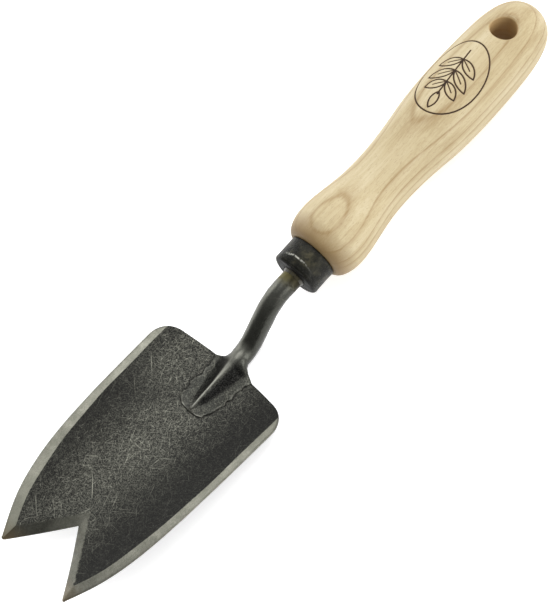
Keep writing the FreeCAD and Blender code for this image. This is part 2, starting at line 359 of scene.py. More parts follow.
def bevel_width(s):
    """Width of the side's bevel, which hand grinding leaves a little uneven."""
    return (
        2.85 + 0.95 * smoothstep(12, 100, s) + 0.13 * np.sin(s / 9.5) + 0.07 * np.sin(s / 4.1 + 1.3)
    )


def blade_outline():
    """The blade's closed outline in plan, from the middle of its heel round the +Y side."""
    quarter = (HEEL_END[0] - BLADE_HEEL_X) / 4
    heel = arc((BLADE_HEEL_X, 0), (BLADE_HEEL_X + quarter, HEEL_END[1] / 2), HEEL_END, 48)
    corner = arc(HEEL_END, CORNER_MIDDLE, SIDE_POINTS[0], 36)
    side = natural_spline(SIDE_POINTS, 190)
    point = arc(SIDE_POINTS[-1], TIP_MIDDLE, TIP_NOTCH, 7)
    notch = line(TIP_NOTCH, (NOTCH_X, 0), 46)
    half = np.r_[heel[:-1], corner[:-1], side[:-1], point[:-1], notch]
    return np.r_[half, (half * (1, -1))[-2:0:-1]]


def blade_measures(plan):
    """At plan points: the hollow side's height, how far inside the side's and the notch's
    crest they lie, and how far along the nearer bevel."""
    folded = np.c_[plan[:, 0], np.abs(plan[:, 1])]
    from_side, along_side = distance_to(folded, blade_side())
    from_vertex = folded - (NOTCH_X, 0)
    wider = np.where(plan[:, 1] < 0, LEFT_BEVEL, 1.0)
    in_side = from_side - bevel_width(along_side) * wider
    in_notch = from_vertex @ NOTCH_INWARD - NOTCH_BEVEL
    side_drop = SIDE_STEEPNESS / wider * in_side
    notch_drop = NOTCH_DROP / NOTCH_BEVEL * in_notch
    height = face_z(*plan.T) + np.minimum(0, np.minimum(side_drop, notch_drop))
    along = np.where(in_side < in_notch, along_side, 300 + from_vertex @ NOTCH_ALONG)
    return height, in_side, in_notch, along


def blade_plan_lines(outline):
    """Lines inside the outline that the mesh follows: crests, mitres and the foot's edge."""
    side = blade_side()
    s = run_length(side)
    apex = (NOTCH_X + NOTCH_BEVEL / NOTCH_INWARD[0], 0.0)
    lines = [line(apex, (NOTCH_X - 0.1, 0), 10)]
    for flip, wider in (((1, 1), 1.0), ((1, -1), LEFT_BEVEL)):
        crest = side + right_normals(side) * (bevel_width(s) * wider)[:, None]
        notch_in = (crest - (NOTCH_X, 0)) @ NOTCH_INWARD
        crest = crest[notch_in > NOTCH_BEVEL]
        meeting = crest[-1] + NOTCH_ALONG * 0.25
        crest = np.r_[crest[inside(crest, outline)], [meeting]]
        notch_crest = line(apex, meeting, 44)[1:]
        mitre = line(meeting, TIP_MIDDLE, 9)[:-1]
        lines += [crest * flip, notch_crest * flip, mitre * flip]
    foot = palm_outline()
    return lines + [foot[inside(foot, outline)]]


def blade_plan_mesh(outline):
    """Points and triangles of the blade in plan; they follow every line of the surface."""
    normals = right_normals(np.r_[outline[-1:], outline, outline[:1]])[1:-1]
    rings = [outline] + [outline + normals * depth for depth in EDGE_RINGS]
    lines = blade_plan_lines(outline)

    step = 0.62
    xs, ys = np.meshgrid(np.arange(52, 160, step), np.arange(-34, 34, step * 0.866))
    xs[1::2] += step / 2
    grid = np.c_[xs.ravel(), ys.ravel()]
    grid = grid[inside(grid, outline)]
    grid = grid[distance_to(grid, np.r_[outline, outline[:1]])[0] > 0.7]
    for path in lines:
        grid = grid[distance_to(grid, path)[0] > 0.3]

    points, edges = [], []
    for path, closed in [(ring, True) for ring in rings] + [(path, False) for path in lines]:
        first, count = len(points), len(path)
        points += path.tolist()
        steps = count if closed else count - 1
        edges += [(first + i, first + (i + 1) % count) for i in range(steps)]
    points += grid.tolist()
    cut = delaunay_2d_cdt([Vector(p) for p in points], edges, [], 1, 1e-4)
    plan = np.array([tuple(v) for v in cut[0]])
    triangles = np.array([f for f in cut[2] if len(f) == 3])
    a, b, c = plan[triangles[:, 0]], plan[triangles[:, 1]], plan[triangles[:, 2]]
    clockwise = np.cross(b - a, c - a) < 0
    triangles[clockwise] = triangles[clockwise][:, ::-1]
    return plan, triangles


def blade_surfaces(plan, height, in_bevel, from_edge, from_palm):
    """Heights of the hollow side and the underside, hammered and with rounded edges."""
    spot = np.c_[plan, plan[:, :1] * 0]
    rounding = 0.34 * (1 - smoothstep(0, 0.5, from_edge)) ** 2
    forged = smoothstep(-0.2, 0.8, in_bevel)
    by_the_foot = smoothstep(30, 6, np.hypot(plan[:, 0] - 60, plan[:, 1] + 14))
    hammer = (
        0.07 * lumps(spot, 11, 1) + 0.04 * lumps(spot, 4.3, 2) + 0.022 * lumps(spot, 1.7, 3)
        + 0.06 * by_the_foot * lumps(spot, 1.5, 4)
    ) * forged
    groove = 0.22 * np.exp(-(from_palm / 0.4) ** 2) * forged
    top = height + hammer - groove - rounding
    under = (
        face_z(*plan.T) - PLATE + 0.6 * rounding
        + 0.05 * lumps(spot, 9, 7) + 0.02 * lumps(spot, 2.2, 8)
    )
    return top, np.minimum(under, top - THINNEST)


def closed_plate(plan, triangles, top, under):
    """Points and faces of the plate: hollow side, underside, and a shelf between their
    rims.  Also which plan points lie on the rim."""
    count = len(plan)
    pairs = {(tri[i], tri[(i + 1) % 3]): True for tri in triangles for i in range(3)}
    rim = [pair for pair in pairs if (pair[1], pair[0]) not in pairs]
    on_rim = sorted({v for pair in rim for v in pair})
    shelf_index = {v: 2 * count + i for i, v in enumerate(on_rim)}
    shelf = np.c_[plan[on_rim], top[on_rim] - 0.12]
    verts = np.r_[np.c_[plan, top], np.c_[plan, under], shelf]
    faces = triangles.tolist() + (triangles[:, ::-1] + count).tolist()
    for p, q in rim:
        pm, qm = shelf_index[p], shelf_index[q]
        faces += [(p, pm, qm, q), (pm, p + count, q + count, qm)]
    return verts, faces, on_rim


def make_blade(material):
    outline = blade_outline()
    plan, triangles = blade_plan_mesh(outline)
    height, in_side, in_notch, along = blade_measures(plan)
    in_bevel = np.minimum(in_side, in_notch)
    from_edge = distance_to(plan, np.r_[outline, outline[:1]])[0]
    from_palm = distance_to(plan, palm_outline())[0]
    top, under = blade_surfaces(plan, height, in_bevel, from_edge, from_palm)
    verts, faces, on_rim = closed_plate(plan, triangles, top, under)

    bent = bend_out_of_true(verts)
    piece = add_piece("blade_forged", bent, faces, "blade", material)
    store_vectors(piece)
    # The underside and the shelf have no bevel.
    beyond = np.ones(len(verts) - len(plan))
    store_values(piece, "in_side", np.r_[in_side, beyond * 3])
    store_values(piece, "in_notch", np.r_[in_notch, beyond * 3])
    store_values(piece, "along", np.r_[along, along * 0, along[on_rim]])
    # How strongly painted shade darkens the crease along the foot's edge.
    store_values(piece, "crevice_shade", np.r_[np.exp(-(from_palm / 0.34) ** 2), beyond * 0])
    sharpen_crests(piece, np.r_[in_bevel, beyond * 9])


def sharpen_crests(piece, in_bevel):
    """Marks the mesh edges that lie on a bevel's crest as sharp."""
    mesh = piece.data
    on_crest = np.abs(in_bevel) < 0.02
    ends = np.empty(len(mesh.edges) * 2, int)
    mesh.edges.foreach_get("vertices", ends)
    sharp = on_crest[ends.reshape(-1, 2)].all(axis=1)
    mesh.attributes.new("sharp_edge", "BOOLEAN", "EDGE").data.foreach_set("value", sharp)


# ---- neck ----
RISE = math.atan(FACE_SLOPE)
SECTION_TOP = 61  # points over the top of one section
SECTION_UNDER = 18  # and under it
TOP_SWEEP = math.radians(100)
RIDGE_BASE_X = (47, 52, 58, 64.5, 70.5, RIDGE_END_X, FOOT_TIP_X)
RIDGE_BASE = (5.0, 6.4, 5.5, 4.1, 2.9, 0.9, 0.5)  # half width of the foot's ridge
TANG = (  # x, width, and whether square, of the tang and the rod's start
    (-65, 1.0, True), (-61, 3.0, True), (-30, 4.4, True), (9.0, 6.1, True),
    (9.63, 2 * ROD_RADIUS, False),
)


def crank_stations():
    """Centre x, z and direction angle along the bent rod, up to the blade's heel."""
    stations = [(x, 0.0, 0.0) for x in np.arange(9.7, CRANK_START_X, 0.7)]
    for turn in np.linspace(0, CRANK_ANGLE, 24):
        stations.append((
            CRANK_START_X + FRONT_BEND * math.sin(turn), FRONT_BEND * (math.cos(turn) - 1), -turn,
        ))
    x, z, _ = stations[-1]
    drop = z - (HEEL_Z + HEEL_BEND * (1 - math.cos(CRANK_ANGLE)))
    for share in np.linspace(0, 1, 22)[1:]:
        stations.append((x + share * drop / math.tan(CRANK_ANGLE), z - share * drop, -CRANK_ANGLE))
    x, z, _ = stations[-1]
    cx, cz = x + HEEL_BEND * math.sin(CRANK_ANGLE), z + HEEL_BEND * math.cos(CRANK_ANGLE)
    for turn in np.linspace(-CRANK_ANGLE, RISE, 22)[1:]:
        stations.append((cx + HEEL_BEND * math.sin(turn), cz - HEEL_BEND * math.cos(turn), turn))
    return stations


def section_angles():
    """Angles round one section of the neck, from the -Y side over the top."""
    over = np.linspace(-TOP_SWEEP, TOP_SWEEP, SECTION_TOP)
    under = np.linspace(TOP_SWEEP, 2 * math.pi - TOP_SWEEP, SECTION_UNDER + 2)[1:-1]
    return np.r_[over, under]


def ridge_height(x, y, half_base, crest):
    """The foot's central ridge: hollow flanks that meet in a narrow rounded crest."""
    soft = np.interp(x, (48, 52, 58, 64, RIDGE_END_X), (1.3, 0.75, 0.3, 0.13, 0.1))
    t = np.clip(np.abs(y) / half_base, 0, 1)
    reach = np.sqrt(1 + soft ** 2) - soft
    t = (np.sqrt(t * t + soft ** 2) - soft) / reach
    power = np.interp(x, (48, 52, 58, 70), (1.1, 1.5, 1.75, 1.6))
    return crest * (1 - t) ** power


def foot_section(x):
    """One upright section of the foot, in the order of section_angles()."""
    (right,), (left,) = palm_half_widths(np.array([x]))
    t = np.linspace(-1, 1, SECTION_TOP)
    spread = np.sign(t) * np.abs(t) ** 1.25
    y = np.where(t > 0, spread * right, spread * left)
    from_edge = np.minimum(np.minimum(right - y, y + left), (FOOT_TIP_X - x) * 0.8 + 0.02)
    palm = face_z(x, y) + PALM * smoothstep(0.0, 0.7, from_edge) - PALM_SINK
    ridge_z = (HEEL_Z + ROD_RADIUS, face_z(RIDGE_END_X, 0) + PALM + 0.1, -16.0)
    ridge_top = np.interp(x, (46.6, RIDGE_END_X, FOOT_TIP_X), ridge_z)
    crest = max(0.0, ridge_top - (face_z(x, 0) + PALM - PALM_SINK))
    base = np.interp(x, RIDGE_BASE_X, RIDGE_BASE)
    z = palm + ridge_height(x, y, base, crest)
    depth = np.interp(x, (47, 53.2, 54.5), (2.33, 2.3, 1.1))
    under_y = np.linspace(right, -left, SECTION_UNDER + 2)[1:-1]
    under_z = face_z(x, under_y) - depth
    return np.r_[y, under_y], np.r_[z, under_z]


def tang_rings(angles):
    """Square tapering spike behind the rod, hidden in the handle."""
    rings = []
    for x, width, square in TANG:
        flat = width / 2 / np.maximum(np.abs(np.sin(angles)), np.abs(np.cos(angles)))
        radius = flat if square else width / 2 + flat * 0
        rings.append(np.c_[radius * 0 + x, radius * np.sin(angles), radius * np.cos(angles)])
    return rings


def bench_z(x):
    """Height of the surface that the tool lies on."""
    heel = face_z(BLADE_HEEL_X, 0) - PLATE
    swell_x, swell = REAR_SWELL
    return heel + (-swell - heel) / (swell_x - BLADE_HEEL_X) * (x - BLADE_HEEL_X)


def neck_ring(x, end_x, end_z, angles):
    """The section at x beyond the rod's end, which turns from round into the foot."""
    foot_y, foot_z = foot_section(x)
    k = float(smoothstep(end_x - 0.3, 53.2, x))
    round_z = end_z + (x - end_x) * FACE_SLOPE + ROD_RADIUS * np.cos(angles)
    y = (1 - k) * ROD_RADIUS * np.sin(angles) + k * foot_y
    z = (1 - k) * round_z + k * foot_z
    y = np.where(y > 0, y * foot_y.max() / y.max(), y * foot_y.min() / y.min())
    lean = math.sin(RISE) * (1 - smoothstep(end_x, 54, x))
    return np.c_[x - (z - round_z.mean()) * lean, y, z]


def roughen_neck(rings):
    """The rings' points with hammer marks, which stay above the surface underneath."""
    verts = np.concatenate(rings)
    centre = np.concatenate([np.repeat(r.mean(axis=0)[None], len(r), axis=0) for r in rings])
    outward = verts - centre
    outward /= np.maximum(np.linalg.norm(outward, axis=1), 1e-6)[:, None]
    in_foot = smoothstep(48, 56, verts[:, 0])
    visible = smoothstep(10, 14, verts[:, 0])
    rough = (0.09 * lumps(verts * (0.35, 1, 1), 3.0, 11) + 0.03 * lumps(verts, 1.3, 12)) * visible
    direction = outward * (1 - in_foot)[:, None] + np.outer(in_foot, (0, 0, 1))
    quiet = 1 - 0.55 * in_foot
    verts = verts + direction * (rough * quiet)[:, None]
    lowest = np.where(verts[:, 0] > 20, bench_z(verts[:, 0]) + 0.15, -1e9)
    verts[:, 2] = np.maximum(verts[:, 2], lowest)
    return verts


def make_neck(material):
    angles = section_angles()
    rings = tang_rings(angles)
    stations = crank_stations()
    for x, z, turn in stations:
        up, side = ROD_RADIUS * np.cos(angles), ROD_RADIUS * np.sin(angles)
        rings.append(np.c_[x - up * math.sin(turn), side, z + up * math.cos(turn)])
    end_x, end_z, _ = stations[-1]
    sides = np.arange(end_x + 0.35, RIDGE_END_X, 0.33)
    tip = np.arange(RIDGE_END_X, FOOT_TIP_X, 0.11)
    just_short = 77.58
    for x in np.r_[sides, tip, just_short]:
        rings.append(neck_ring(x, end_x, end_z, angles))
    verts = bend_out_of_true(roughen_neck(rings))
    faces = tube_faces(len(rings), len(angles))
    piece = add_piece("neck_forged", verts, faces, "neck", material)

    local = store_vectors(piece)
    from_edge = distance_to(local[:, :2], bend_out_of_true(palm_outline()))[0]
    on_blade = smoothstep(52.5, 53.5, local[:, 0])
    # How strongly painted shade darkens the crease along the foot's edge.
    store_values(piece, "crevice_shade", np.exp(-(from_edge / 0.4) ** 2) * on_blade)
    store_values(piece, "wear_and_highlight", ridge_wear_and_highlight(local))
    # rim: where a pale line runs along the foot's edge on the blade, a painted highlight on the lapped
    # step.
    store_values(piece, "rim", np.exp(-((from_edge - 0.5) / 0.22) ** 2) * on_blade)
    store_values(piece, "hollow", ridge_hollow(local))


def ridge_wear_and_highlight(local):
    """How strongly each point gets the pale mark, partly rubbed wear and partly painted highlight: a
    wide band over the heel that narrows to the ridge's crest.
    """
    x, y, z = local.T
    width = np.interp(x, (44, 50, 56, 62, 76), (2.0, 1.5, 0.85, 0.42, 0.36))
    over_heel = smoothstep(40, 47, x) * smoothstep(-30, -12, z - np.abs(y))
    share = np.interp(x, (44, 52, 60), (0.32, 0.42, 1.0)) * smoothstep(76.5, 74, x)
    return np.exp(-((y + 0.3) / width) ** 2) * over_heel * share


def ridge_hollow(local):
    """1 in the hollow flanks beside the foot's ridge, 0 on the ridge and on the palm."""
    x, y = local[:, 0], np.abs(local[:, 1])
    base = np.interp(x, RIDGE_BASE_X, RIDGE_BASE)
    inner = smoothstep(0.12, 0.3, y / base) * smoothstep(1.25, 0.85, y / base)
    return inner * smoothstep(49, 53, x) * smoothstep(76, 70, x)


# ---- ferrule ----
def ferrule_profile(inner, centre_x):
    """x and radius of the cap's closed profile, from its inner back edge round the outside."""
    centre_r = FERRULE_RADIUS - FERRULE_LIP
    turn = np.linspace(0, math.pi / 2, 12)
    lip = np.c_[centre_x + FERRULE_LIP * np.sin(turn), centre_r + FERRULE_LIP * np.cos(turn)]
    return np.r_[
        line((0.45, inner), (0.02, inner + 0.3), 3),
        line((0.02, FERRULE_RADIUS - 0.3), (0.3, FERRULE_RADIUS), 3),
        line((0.6, FERRULE_RADIUS), (centre_x - 0.2, FERRULE_RADIUS), 44),
        lip,
        line((FERRULE_LENGTH, centre_r - 0.3), (FERRULE_LENGTH, FERRULE_HOLE + 0.35), 10),
        line((FERRULE_LENGTH - 0.12, FERRULE_HOLE + 0.1), (FERRULE_LENGTH - 0.35, FERRULE_HOLE), 3),
        line((9.9, FERRULE_HOLE), (FERRULE_SEAT, FERRULE_HOLE + 0.1), 2),
        line((FERRULE_SEAT, inner - 0.2), (9.4, inner), 2),
    ]


def make_ferrule(material):
    inner = FERRULE_RADIUS - FERRULE_WALL
    centre_x = FERRULE_LENGTH - FERRULE_LIP
    profile = ferrule_profile(inner, centre_x)
    columns = 220
    verts = lathe(profile, np.linspace(0, 2 * math.pi, columns, endpoint=False))
    radius, radial = from_axis(verts)
    outer = smoothstep(inner + 0.2, FERRULE_RADIUS - 0.2, radius)
    front = smoothstep(centre_x, FERRULE_LENGTH - 0.2, verts[:, 0]) * smoothstep(5.2, 6.2, radius)
    dents = 0.12 * lumps(verts, 5.5, 21) + 0.05 * lumps(verts, 1.9, 22) + 0.02 * lumps(verts, 0.8, 23)
    angle = np.arctan2(verts[:, 1], verts[:, 2])
    beaten = smoothstep(-0.75, -0.35, angle) * smoothstep(0.8, 0.4, angle)
    edge_x = FERRULE_BREAK + 1.2 * np.abs(angle) + 0.35 * lumps(verts, 2.4, 24)
    past_edge = verts[:, 0] - edge_x
    drop = 1.15 * beaten * smoothstep(0, 4.0, past_edge) + 0.22 * beaten * (past_edge > 0)
    verts = verts + radial * ((dents - drop) * outer)[:, None]
    verts = verts - np.outer(front * (0.1 + dents * 0.7), (1, 0, 0))
    faces = tube_faces(len(profile), columns, closed_rows=True)
    piece = add_piece("ferrule_ring", verts, faces, "ferrule", material)
    local = store_vectors(piece)
    # The beaten edge's pale line: partly wear, partly painted highlight, strongest on the upper side.
    rim = np.exp(-((local[:, 0] - edge_x + 0.1) / 0.24) ** 2) * outer
    store_values(piece, "wear_and_highlight", rim * beaten * (0.2 + 0.8 * smoothstep(0.42, 0.1, angle)))


# ---- handle ----
MARK_X = -88.2
MARK_ANGLE = math.radians(-8.5)
MARK_RADIUS = 16.3
MARK_TILT = math.radians(-4.8)
MARK_HALF = (18.4, 13.2)
MARK_LINE = 0.26  # half width of a burnt line
LEAF_PAIRS = ((-8.5, 8.2, 5.6), (-2.5, 8.6, 6.6), (3.5, 7.0, 5.4))  # base x, reach, lean
MARK_SPAN = (-108.5, -67.5)  # x of the finer mesh under the mark
MARK_STEP = 0.2
FIRST_GRIP_ROW = 12  # the profile's bore, tenon and shoulder come before it
GRIP = natural_spline(HANDLE_PROFILE, PROFILE_SAMPLES)


def turned_profile():
    """x and radius of the tang's bore, the tenon, the shoulder's face, and then the grip."""
    s = run_length(GRIP)
    stations = [0.0]
    while stations[-1] < s[-1] - 0.3:
        x = np.interp(stations[-1], s, GRIP[:, 0])
        stations.append(stations[-1] + (MARK_STEP if MARK_SPAN[0] < x < MARK_SPAN[1] else 0.7))
    stations[-1] = s[-1] - 0.05
    grip = np.c_[np.interp(stations, s, GRIP[:, 0]), np.interp(stations, s, GRIP[:, 1])]
    bore = [
        (BORE_END_X, 0.05), (BORE_END_X, BORE_RADIUS - 0.2), (BORE_END_X + 4, BORE_RADIUS),
        (-20, BORE_RADIUS), (TENON_LENGTH, BORE_RADIUS),
    ]
    tenon = [(TENON_LENGTH, 8.9), (9.3, 9.1), (4, 9.1), (0.02, 9.12)]
    shoulder = [(0, 9.3), (0, 10.2), (0, 10.7)]
    return np.r_[bore, tenon, shoulder, grip]


def mark_angles():
    """Angles round the grip, close together under the mark."""
    low, high = math.radians(-64), math.radians(40)
    dense = np.linspace(low, high, int((high - low) * MARK_RADIUS / MARK_STEP))
    sparse = np.linspace(high, low + 2 * math.pi, 112)[1:-1]
    return np.r_[dense, sparse]


def leaf_gap(p, base, tip, width):
    """Distance from the outline of a pointed leaf."""
    along = np.array(tip, float) - base
    length = np.hypot(*along)
    along /= length
    u = (p - base) @ along - length / 2
    v = (p - base) @ (-along[1], along[0])
    radius = (length ** 2 / 4 + width ** 2) / (2 * width)
    shift = radius - width
    far = np.maximum(np.hypot(u, v - shift), np.hypot(u, v + shift))
    return np.abs(far - radius)


def segment_gap(p, start, end):
    """Distance from a straight segment."""
    return distance_to(p, np.array([start, end], float))[0]


def mark_burn(local):
    """How deeply each point of the grip is burnt by the mark: an oval with a leaf sprig."""
    angle = np.arctan2(local[:, 1], local[:, 2])
    u = local[:, 0] - MARK_X
    v = (angle - MARK_ANGLE) * MARK_RADIUS
    turn_c, turn_s = math.cos(MARK_TILT), math.sin(MARK_TILT)
    p = np.c_[u * turn_c - v * turn_s, u * turn_s + v * turn_c]
    near = (np.abs(p[:, 0]) < 20) & (np.abs(p[:, 1]) < 15) & (local[:, 2] > 0)
    burn = np.zeros(len(local))
    q = p[near]
    ring = np.hypot(q[:, 0] / MARK_HALF[0], q[:, 1] / MARK_HALF[1])
    slope = np.hypot(q[:, 0] / MARK_HALF[0] ** 2, q[:, 1] / MARK_HALF[1] ** 2) / np.maximum(ring, 0.05)
    gap = np.abs(ring - 1) / slope
    gap = np.minimum(gap, segment_gap(q, (-13.5, 0), (10.0, 0)))
    for base_x, reach, lean in LEAF_PAIRS:
        for side in (-1, 1):
            base, tip = (base_x, 0.0), (base_x + lean, side * reach)
            gap = np.minimum(gap, leaf_gap(q, base, tip, 2.0))
            vein = (base_x + lean * 0.62, side * reach * 0.62)
            gap = np.minimum(gap, segment_gap(q, base, vein) + 0.08)
    gap = np.minimum(gap, leaf_gap(q, (8.8, 0.0), (16.6, 0.0), 1.6))
    burn[near] = 1 - smoothstep(MARK_LINE - 0.08, MARK_LINE + 0.13, gap)
    return burn


def hole_cutter():
    """A pin whose two ends flare to follow the grip's surface, for the hanging hole."""
    count = 128
    around = np.linspace(0, 2 * math.pi, count, endpoint=False)

    def ring(radius, sink, side):
        x = HOLE_X + radius * np.cos(around)
        y = radius * np.sin(around)
        grip = np.interp(x, GRIP[::-1, 0], GRIP[::-1, 1])
        return np.c_[x, y, side * (np.sqrt(grip ** 2 - y ** 2) - sink)]

    upper = []
    for turn in np.linspace(0, math.pi / 2, 9):
        radius = HOLE_RADIUS + HOLE_ROUNDING * (1 - math.cos(turn))
        upper.append((radius, HOLE_ROUNDING * (1 - math.sin(turn))))
    upper.append((HOLE_RADIUS + HOLE_ROUNDING + 0.5, -1.5))
    rings = [ring(r, s, -1) for r, s in reversed(upper)] + [ring(r, s, 1) for r, s in upper]
    verts = np.concatenate(rings)
    return verts, tube_faces(len(rings), count)


def cut_hole(piece):
    """Cuts the hanging hole through the handle."""
    points, faces = hole_cutter()
    cutter = add_object("hole_cutter", row_mesh("hole_cutter", points, faces))
    cut = piece.modifiers.new("hanging_hole", "BOOLEAN")
    cut.operation, cut.solver, cut.object = "DIFFERENCE", "EXACT", cutter
    bpy.context.view_layer.update()
    graph = bpy.context.evaluated_depsgraph_get()
    cut_mesh = bpy.data.meshes.new_from_object(piece.evaluated_get(graph))
    piece.modifiers.clear()
    piece.data = cut_mesh
    bpy.data.objects.remove(cutter)
    cut_mesh.shade_smooth()


def make_handle(material):
    profile, angles = turned_profile(), mark_angles()
    columns = len(angles)
    verts = lathe(profile, angles)
    burn = mark_burn(verts)
    radial = from_axis(verts)[1]
    on_grip = np.repeat(np.arange(len(profile)) > FIRST_GRIP_ROW, columns)
    sanding = (
        0.05 * lumps(verts * (0.4, 1, 1), 7, 31) + 0.012 * lumps(verts * (0.25, 1, 1), 1.6, 32)
    )
    verts = verts + radial * ((sanding - 0.24 * burn) * on_grip)[:, None]
    faces = tube_faces(len(profile), columns)
    piece = add_piece("handle_turned", verts, faces, "handle", material)
    cut_hole(piece)
    store_values(piece, "burn", mark_burn(store_vectors(piece)))


# ---- materials ----
class Graph:
    """Short-hand for one material's nodes."""

    def __init__(self, name):
        self.material = bpy.data.materials.new(name)
        self.material.use_nodes = True
        self.tree = self.material.node_tree
        self.shader = self.tree.nodes["Principled BSDF"]

    def node(self, kind, inputs=(), **settings):
        made = self.tree.nodes.new("ShaderNode" + kind)
        for key, value in settings.items():
            setattr(made, key, value)
        for key, value in inputs.items() if isinstance(inputs, dict) else enumerate(inputs):
            self.put(made.inputs[key], value)
        return made

    def put(self, socket, value):
        if isinstance(value, bpy.types.NodeSocket):
            self.tree.links.new(value, socket)
        elif value is not None:
            socket.default_value = value

    def math(self, operation, *values):
        return self.node("Math", values, operation=operation).outputs[0]

    def add(self, *values):
        """The sum of several values."""
        total = values[0]
        for value in values[1:]:
            total = self.math("ADD", total, value)
        return total

    def times(self, a, b):
        return self.math("MULTIPLY", a, b)

    def value(self, name):
        """A number that store_values() kept."""
        return self.node("Attribute", attribute_name=name).outputs["Fac"]

    def place(self, stretch=(1, 1, 1), turn=0.0, shift=(0, 0, 0)):
        """The point's place in the handle's frame, in mm, turned about Z and stretched."""
        here = self.node("Attribute", attribute_name="place_mm").outputs["Vector"]
        turned = self.node("Mapping", {"Vector": here, "Rotation": (0, 0, turn), "Location": shift})
        return self.node("VectorMath", (turned.outputs[0], stretch), operation="MULTIPLY").outputs[0]

    def coordinates(self):
        return self.node("SeparateXYZ", (self.place(),)).outputs

    def noise(self, place, scale=1.0, detail=2.0, roughness=0.5):
        made = self.node("TexNoise", {
            "Vector": place, "Scale": scale, "Detail": detail, "Roughness": roughness,
        })
        return made.outputs["Fac"]

    def span(self, value, low, high, to_low=0.0, to_high=1.0):
        """to_low at low and to_high at high, straight between them and level beyond."""
        return self.node("MapRange", (value, low, high, to_low, to_high)).outputs[0]

    def ramp(self, value, stops):
        """Blends the stops' colours or greys; every stop is (position, colour)."""
        made = self.node("ValToRGB", (value,))
        elements = made.color_ramp.elements
        while len(elements) < len(stops):
            elements.new(0.5)
        for element, (at, colour) in zip(elements, stops):
            element.position = at
            element.color = (*colour, 1) if isinstance(colour, tuple) else (colour, colour, colour, 1)
        return made.outputs["Color"]

    def mix(self, share, a, b):
        made = self.node("Mix", data_type="RGBA")
        for index, value in ((0, share), (6, a), (7, b)):
            self.put(made.inputs[index], (*value, 1) if isinstance(value, tuple) else value)
        return made.outputs[2]

    def bump(self, height, strength, distance):
        """A normal from a height; distance in mm."""
        return self.node("Bump", {
            "Height": height, "Strength": strength, "Distance": distance / 1000,
        }).outputs[0]

    def finish(self, colour, roughness, metallic, normal, **constants):
        sockets = ("Base Color", "Roughness", "Metallic", "Normal")
        for name, value in zip(sockets, (colour, roughness, metallic, normal)):
            self.put(self.shader.inputs[name], value)
        for name, value in constants.items():
            self.shader.inputs[name.replace("_", " ")].default_value = value
        return self.material


def scratches(g, directions, length, width, low, high, seed):
    """Fine light scratches in several directions: 1 on a scratch and 0 off it."""
    total = None
    for i in range(directions):
        turn = math.pi * (i + 0.37 * math.sin(seed + i)) / directions
        shift = (seed * 17.3 + i * 31.7, i * 11.1, 0)
        place = g.place((1 / length, 1 / width, 1 / length), turn, shift)
        streak = g.span(g.noise(place, 1.0, 1.0), low, high)
        total = streak if total is None else g.math("MAXIMUM", total, streak)
    return total


def forged_colour(g, shade=1.0, wear_and_light_scale=1.0):
    """Colour, speckle and scratches of fire scale that has been tumbled."""
    cloud = g.noise(g.place(), 0.055, 3.0, 0.55)
    speckle = g.noise(g.place(), 1.85, 3.0, 0.75)
    fine = scratches(g, 6, 1.7, 0.30, 0.63, 0.74, 1)
    medium = scratches(g, 6, 5.5, 0.32, 0.69, 0.78, 3)
    long = scratches(g, 3, 15.0, 0.36, 0.72, 0.79, 5)
    clouded = g.span(cloud, 0.3, 0.7, 0.006, 0.018)
    base = g.add(clouded, g.span(speckle, 0.38, 0.68, -0.024, 0.046))
    marks = g.add(g.times(fine, 0.055), g.times(medium, 0.088), g.times(long, 0.14))
    # wear_and_light_scale brightens or darkens the scale; on the blade it carries tumbling wear together
    # with painted highlight and painted shade.
    light = g.math("MAXIMUM", g.times(g.add(base, marks), wear_and_light_scale), 0.004)
    grey, blue = g.times(light, shade), g.times(light, 0.82 * shade)
    tint = g.node("CombineColor", (grey, grey, blue)).outputs[0]
    return tint, speckle, g.math("MAXIMUM", fine, medium)


def hump(g, value, centre, reach):
    """1 at the centre, fading to 0 at the reach on both sides."""
    away = g.math("ABSOLUTE", g.add(value, -centre))
    return g.node("MapRange", (away, 0.0, reach, 1.0, 0.0), interpolation_type="SMOOTHSTEP").outputs[0]


def painted_crevice_shade(g, colour):
    """Painted shade: the broken dark line in the crease where the foot is welded to the blade."""
    broken = g.span(g.noise(g.place(), 0.75, 2.0), 0.40, 0.60, 0.0, 0.9)
    return g.mix(g.times(g.value("crevice_shade"), broken), colour, (0.005, 0.005, 0.004))


